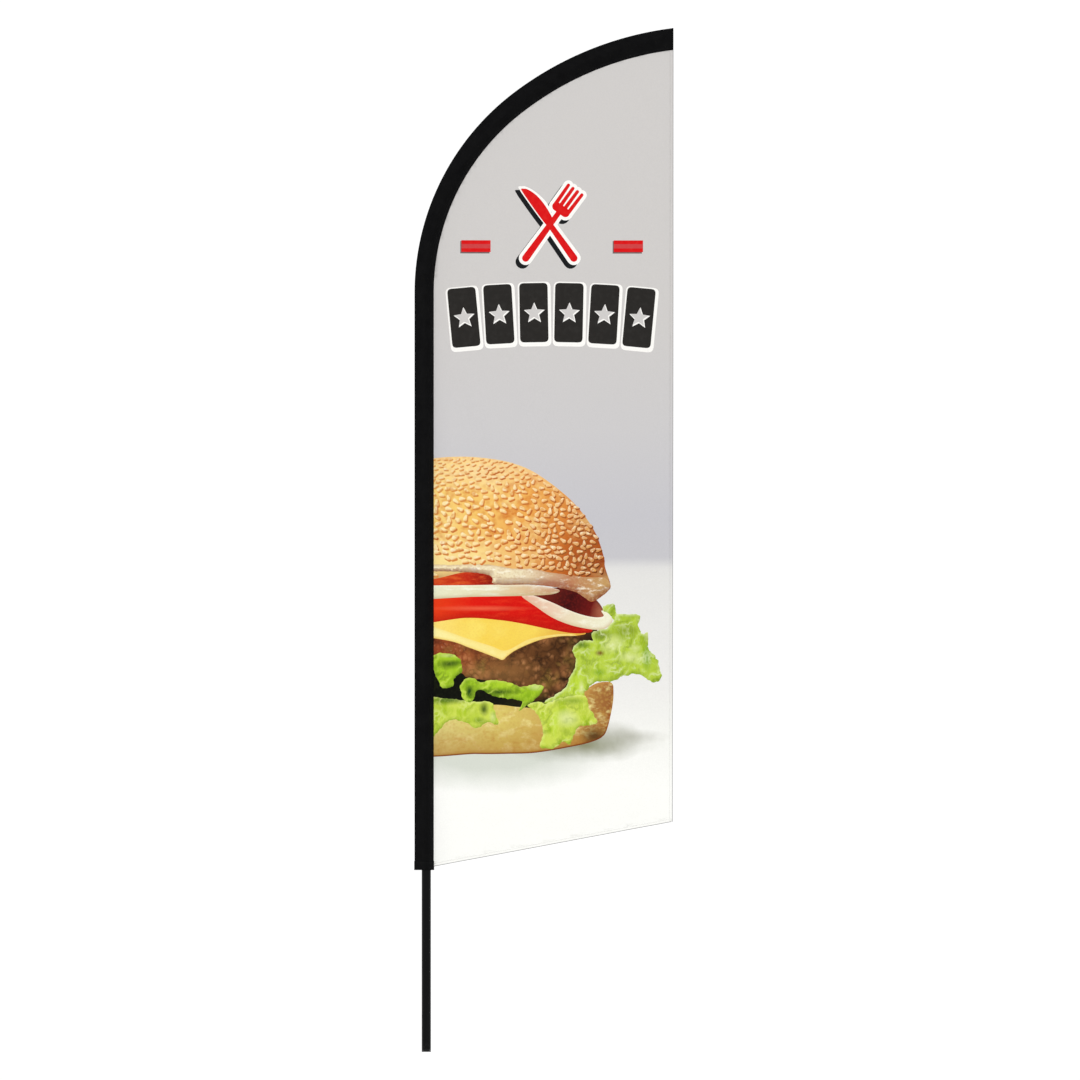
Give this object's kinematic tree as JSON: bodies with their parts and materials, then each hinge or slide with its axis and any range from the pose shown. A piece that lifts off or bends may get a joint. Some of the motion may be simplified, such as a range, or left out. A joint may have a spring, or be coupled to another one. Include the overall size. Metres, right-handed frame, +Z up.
{
  "type": "feather flag with pole",
  "caption": "Tall feather flag with a curved top: a printed cloth panel on a black pole sleeve, carried by a sectional pole that swivels on the socket in its foot.",
  "frame": {"origin": "centre of the pole's foot, at the mouth of the bore for the base's spindle", "axes": "+Z up the pole, +X from the pole to the flag's trailing edge, +Y to the rear of the flag, so that its printed front faces -Y"},
  "size_m": [0.7084, 0.0385, 2.8005],
  "materials": {
    "pole_metal": "satin",
    "bare_metal": "satin",
    "steel": "satin",
    "black_steel": "satin",
    "nylon": "matte",
    "black_plastic": "matte",
    "fibreglass": "satin",
    "sleeve_cloth": "matte",
    "printed_cloth": "matte",
    "webbing": "matte",
    "eyelet_metal": "polished"
  },
  "bodies": {
    "swivel": {"spindle_socket": "black_steel", "socket_cap": "black_steel", "thrust_washer": "black_steel", "retaining_ring": "steel"},
    "pole": {"lower_bush": "nylon", "upper_bush": "nylon", "lower_pole_tube": "pole_metal", "middle_pole_tube": "pole_metal", "upper_pole_tube": "pole_metal", "lower_joint_collar": "black_plastic", "upper_joint_collar": "black_plastic", "lower_button_spring": "steel", "upper_button_spring": "steel", "rod_ferrule": "bare_metal", "lower_flex_rod": "fibreglass", "rod_coupling": "bare_metal", "upper_flex_rod": "fibreglass", "rod_tip_cap": "black_plastic", "pole_sleeve": "sleeve_cloth", "sleeve_hem_band": "sleeve_cloth", "curved_sleeve": "sleeve_cloth", "sleeve_end_closure": "sleeve_cloth", "flag_panel": "printed_cloth", "trailing_hem": "printed_cloth", "bottom_hem": "printed_cloth", "strap_anchor": "webbing", "strap_stud": "steel", "stud_nut": "steel"},
    "lower_button": {"lower_snap_button": "steel"},
    "upper_button": {"upper_snap_button": "steel"},
    "strap": {"tension_strap": "webbing", "strap_eyelet": "eyelet_metal"}
  },
  "joints": [
    {"name": "pole_swivel", "type": "hinge", "parent": "swivel", "child": "pole", "pos_m": [0, 0, 0], "axis": [0, 0, 1], "continuous": true},
    {"name": "lower_button_press", "type": "slide", "parent": "pole", "child": "lower_button", "axis": [1, 0, 0], "range_m": [0, 0.004], "stiffness_N_per_m": 600, "springref_m": -0.002, "deforming": ["lower_button_spring"]},
    {"name": "upper_button_press", "type": "slide", "parent": "pole", "child": "upper_button", "axis": [1, 0, 0], "range_m": [0, 0.004], "stiffness_N_per_m": 600, "springref_m": -0.002, "deforming": ["upper_button_spring"]},
    {"name": "strap_swing", "type": "hinge", "parent": "pole", "child": "strap", "pos_m": [0, 0.0174, 0.4975], "axis": [1, 0, 0], "range_deg": [0, 110]}
  ]
}
